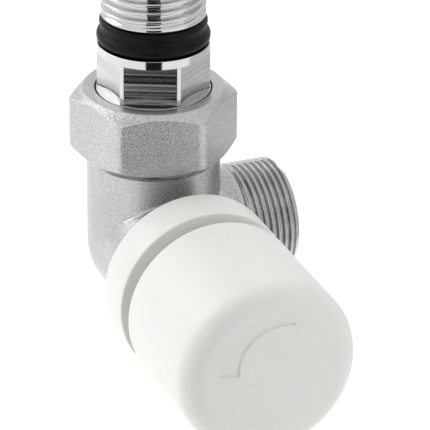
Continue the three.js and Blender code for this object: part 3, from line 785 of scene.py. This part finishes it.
def build_body():
    cast = dress(casting(), "valve", "satin_nickel", cast_nickel, faced_nickel)
    second_finish(cast, lambda c, n: c.xy.length < SLEEVE_R - 0.1 and c.z > SLEEVE_TOP - 0.3
                  or np.hypot(c.y, c.z) < OUTLET_BORE_R + 0.1 and c.x > 13
                  or np.hypot(c.x, c.z) < HEAD_BORE_R + 0.1 and -c.y > HEAD_BORE_FLOOR)
    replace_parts(smooth_shade(cast), "valve_body")
    dress(smooth_shade(outlet_thread(), 50), "valve", "satin_nickel", machined_nickel)
    dress(smooth_shade(body_spigot(), 50), "valve", "satin_nickel", machined_nickel)


def build_union():
    nut = dress(smooth_shade(union_nut()), "nut", "satin_nickel", blasted_nickel, faced_nickel)
    second_finish(nut, lambda c, n: n.z > 0.97 and c.z > NUT_TOP - 0.1 or c.xy.length < NUT_THREAD_R + 0.05)
    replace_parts(nut, "union_nut")
    barrel = dress(smooth_shade(tail_barrel(), 30), "tail", "polished_nickel", bright_nickel, milled_nickel)
    second_finish(barrel, lambda c, n: TAIL_FLATS_BOTTOM < c.z < TAIL_FLATS_TOP and abs(n.z) < 0.2
                  and TAIL_BORE_R + 1 < c.xy.length < TAIL_R - 0.06)
    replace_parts(barrel, "tailpiece")
    dress(smooth_shade(tail_thread(), 50), "tail", "polished_nickel", bright_nickel)
    seal = dress(smooth_shade(rubber_seal(), 60), "tail", "black_rubber", seal_rubber)
    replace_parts(seal, "tailpiece_seal")
    foot_ring = turn("foot_o_ring", disc_section(8.85, 25.7, 0.68), "tail", 120)
    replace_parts(dress(smooth_shade(foot_ring, 60), "tail", "black_rubber", seal_rubber), "union_o_ring")


def build_cap():
    cap = dress(smooth_shade(shield_cap(), 40), "shield", "white_plastic", cap_plastic)
    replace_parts(cap, "cap")
    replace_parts(dress(smooth_shade(collar(), 40), "valve", "white_plastic", cap_plastic), "cap_collar")
    clip = dress(smooth_shade(clip_insert(), 40), "clip_insert", "inner_plastic", insert_plastic)
    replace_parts(clip, "cap_insert")
    wire = ring_with_gap("retaining_wire", disc_section(15.85, 34.8, 0.44), "head", 5)
    wire = dress(smooth_shade(wire, 60), "shield", "spring_steel", spring_steel)
    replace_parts(wire, "insert_retaining_ring")


def build_headwork():
    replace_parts(dress(smooth_shade(bonnet(), 30), "valve", "brass", turned_brass), "bonnet")
    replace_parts(dress(smooth_shade(stem(), 30), "stem", "brass", turned_brass), "spindle")
    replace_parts(dress(smooth_shade(disc_holder(), 30), "disc", "brass", turned_brass), "disc_holder")
    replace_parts(dress(smooth_shade(disc_screw(), 30), "disc", "brass", turned_brass), "disc_screw")
    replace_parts(dress(smooth_shade(plain_ring("seat_disc", "disc_washer", 1.8), 30),
                      "disc", "black_rubber", seal_rubber), "disc_washer")
    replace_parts(dress(smooth_shade(plain_ring("thrust_ring", "thrust_washer", 1), 30),
                      "disc", "ptfe", plain_ptfe), "thrust_washer")
    for name, node, body, centre_r, section in (
            ("bonnet_seal_ring", "bonnet_o_ring", "valve", 9.3, 0.75),
            ("stem_ring_inner", "spindle_o_ring_inner", "stem", 4.2, 0.6),
            ("stem_ring_outer", "spindle_o_ring_outer", "stem", 4.2, 0.6)):
        seal = turn(name, disc_section(centre_r, sum(reach(node, "head")) / 2, section), "head", 96)
        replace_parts(dress(smooth_shade(seal, 60), body, "black_rubber", seal_rubber), node)
    for name, node, body, inner, outer, gap in (
            ("stem_circlip", "spindle_circlip", "valve", 3.9, 6.4, 3),
            ("button_clip", "swivel_clip", "disc", 2.9, 4.9, 2.4)):
        start, end = reach(node, "head")
        section = rounded([(inner, start), (outer, start), (outer, end), (inner, end)], 0.12)
        clip = ring_with_gap(name, section, "head", gap)
        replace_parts(dress(smooth_shade(clip, 30), body, "spring_steel", spring_steel), node)


# Studio ---------------------------------------------------------------------------------------------

CAMERA_TURN = np.radians(22.6)    # the camera stands this far round from the cap's axis, towards -X
CAMERA_RISE = np.radians(26.8)
CAMERA_ROLL = np.radians(0.57)
CAMERA_DISTANCE = 672
CAMERA_SIDE = 12.6                # where the camera looks, right of and above the crossing
CAMERA_UP = 4.0
CAMERA_LENS = 275.3
FLOOR_DROP = 140
FLOOR_GLOW = 0.3
WORLD_STRENGTH = 0.95


def studio_camera():
    turned, rise = CAMERA_TURN, CAMERA_RISE
    forward = Vector((np.sin(turned) * np.cos(rise), np.cos(turned) * np.cos(rise), -np.sin(rise)))
    right = Vector((np.cos(turned), -np.sin(turned), 0))
    up = right.cross(forward)
    side = right * np.cos(CAMERA_ROLL) + up * np.sin(CAMERA_ROLL)
    top = up * np.cos(CAMERA_ROLL) - right * np.sin(CAMERA_ROLL)
    place = CROSSING + (side * CAMERA_SIDE + top * CAMERA_UP - forward * CAMERA_DISTANCE) * MM
    data = bpy.data.cameras.new("camera")
    data.lens = CAMERA_LENS
    data.sensor_width = 36
    data.clip_start = 0.01
    camera = bpy.data.objects.new("camera", data)
    bpy.context.scene.collection.objects.link(camera)
    camera.matrix_world = Matrix.Translation(place) @ Matrix((side, top, -forward)).transposed().to_4x4()
    bpy.context.scene.camera = camera


def softbox(name, place, size, power):
    """An area light at a place in metres, aimed at the valve."""
    data = bpy.data.lights.new(name, "AREA")
    data.shape = "RECTANGLE"
    data.size, data.size_y = size
    data.energy = power
    light = bpy.data.objects.new(name, data)
    light.location = place
    light.rotation_euler = (CROSSING - Vector(place)).to_track_quat("-Z", "Y").to_euler()
    light.visible_camera = False
    bpy.context.scene.collection.objects.link(light)


def card(name, turned, distance, size, centre_z, brightness):
    """An upright card round the valve that the camera doesn't see, but the metal and the light do.

    turned is in degrees, from the camera's side round towards the outlet.
    """
    half_x, half_z = size[0] / 2, size[1] / 2
    mesh = bpy.data.meshes.new(name)
    corners = [(-half_x, 0, -half_z), (half_x, 0, -half_z), (half_x, 0, half_z), (-half_x, 0, half_z)]
    mesh.from_pydata(corners, [], [(0, 1, 2, 3)])
    piece = bpy.data.objects.new(name, mesh)
    angle = -np.pi / 2 - CAMERA_TURN + np.radians(turned)
    direction = Vector((np.cos(angle), np.sin(angle), 0))
    piece.location = CROSSING + direction * distance + Vector((0, 0, centre_z))
    piece.rotation_euler = (0, 0, angle + np.pi / 2)
    bpy.context.scene.collection.objects.link(piece)
    material, _, shader = shader_tree(name)
    shader.inputs["Base Color"].default_value = (0, 0, 0, 1)
    shader.inputs["Specular IOR Level"].default_value = 0
    shader.inputs["Emission Color"].default_value = (brightness, brightness, brightness, 1)
    shader.inputs["Emission Strength"].default_value = 1
    piece.data.materials.append(material)
    piece.visible_camera = False
    piece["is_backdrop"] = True


def studio():
    world = bpy.data.worlds.new("studio")
    world.use_nodes = True
    world.node_tree.nodes["Background"].inputs["Color"].default_value = (1, 1, 1, 1)
    world.node_tree.nodes["Background"].inputs["Strength"].default_value = WORLD_STRENGTH
    bpy.context.scene.world = world
    size = 6.0                    # metres from the middle of the floor to its sides
    floor_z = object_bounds()[0][2] - FLOOR_DROP * MM
    mesh = bpy.data.meshes.new("floor")
    mesh.from_pydata([(-size, -size, floor_z), (size, -size, floor_z), (size, size, floor_z),
                      (-size, size, floor_z)], [], [(0, 1, 2, 3)])
    floor = bpy.data.objects.new("floor", mesh)
    bpy.context.scene.collection.objects.link(floor)
    material, tree, shader = shader_tree("pale_floor")
    shade = mixed(tree, noise(tree, 400), (0.88, 0.88, 0.88), (0.91, 0.91, 0.91))
    tree.links.new(shade, shader.inputs["Base Color"])
    shader.inputs["Roughness"].default_value = 0.9
    shader.inputs["Specular IOR Level"].default_value = 0.1
    shader.inputs["Emission Color"].default_value = (1, 1, 1, 1)
    shader.inputs["Emission Strength"].default_value = FLOOR_GLOW
    floor.data.materials.append(material)
    floor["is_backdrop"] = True
    softbox("key", (-0.85, 0.75, 0.7), (0.8, 0.7), 3.2)
    card("dark_front", 2, 0.22, (0.125, 0.3), 0, 0.015)
    card("grey_right", 118, 0.28, (0.5, 0.4), 0.05, 0.72)
    bpy.context.scene.view_settings.view_transform = "Standard"


build_body()
build_union()
build_cap()
build_headwork()
studio_camera()
studio()
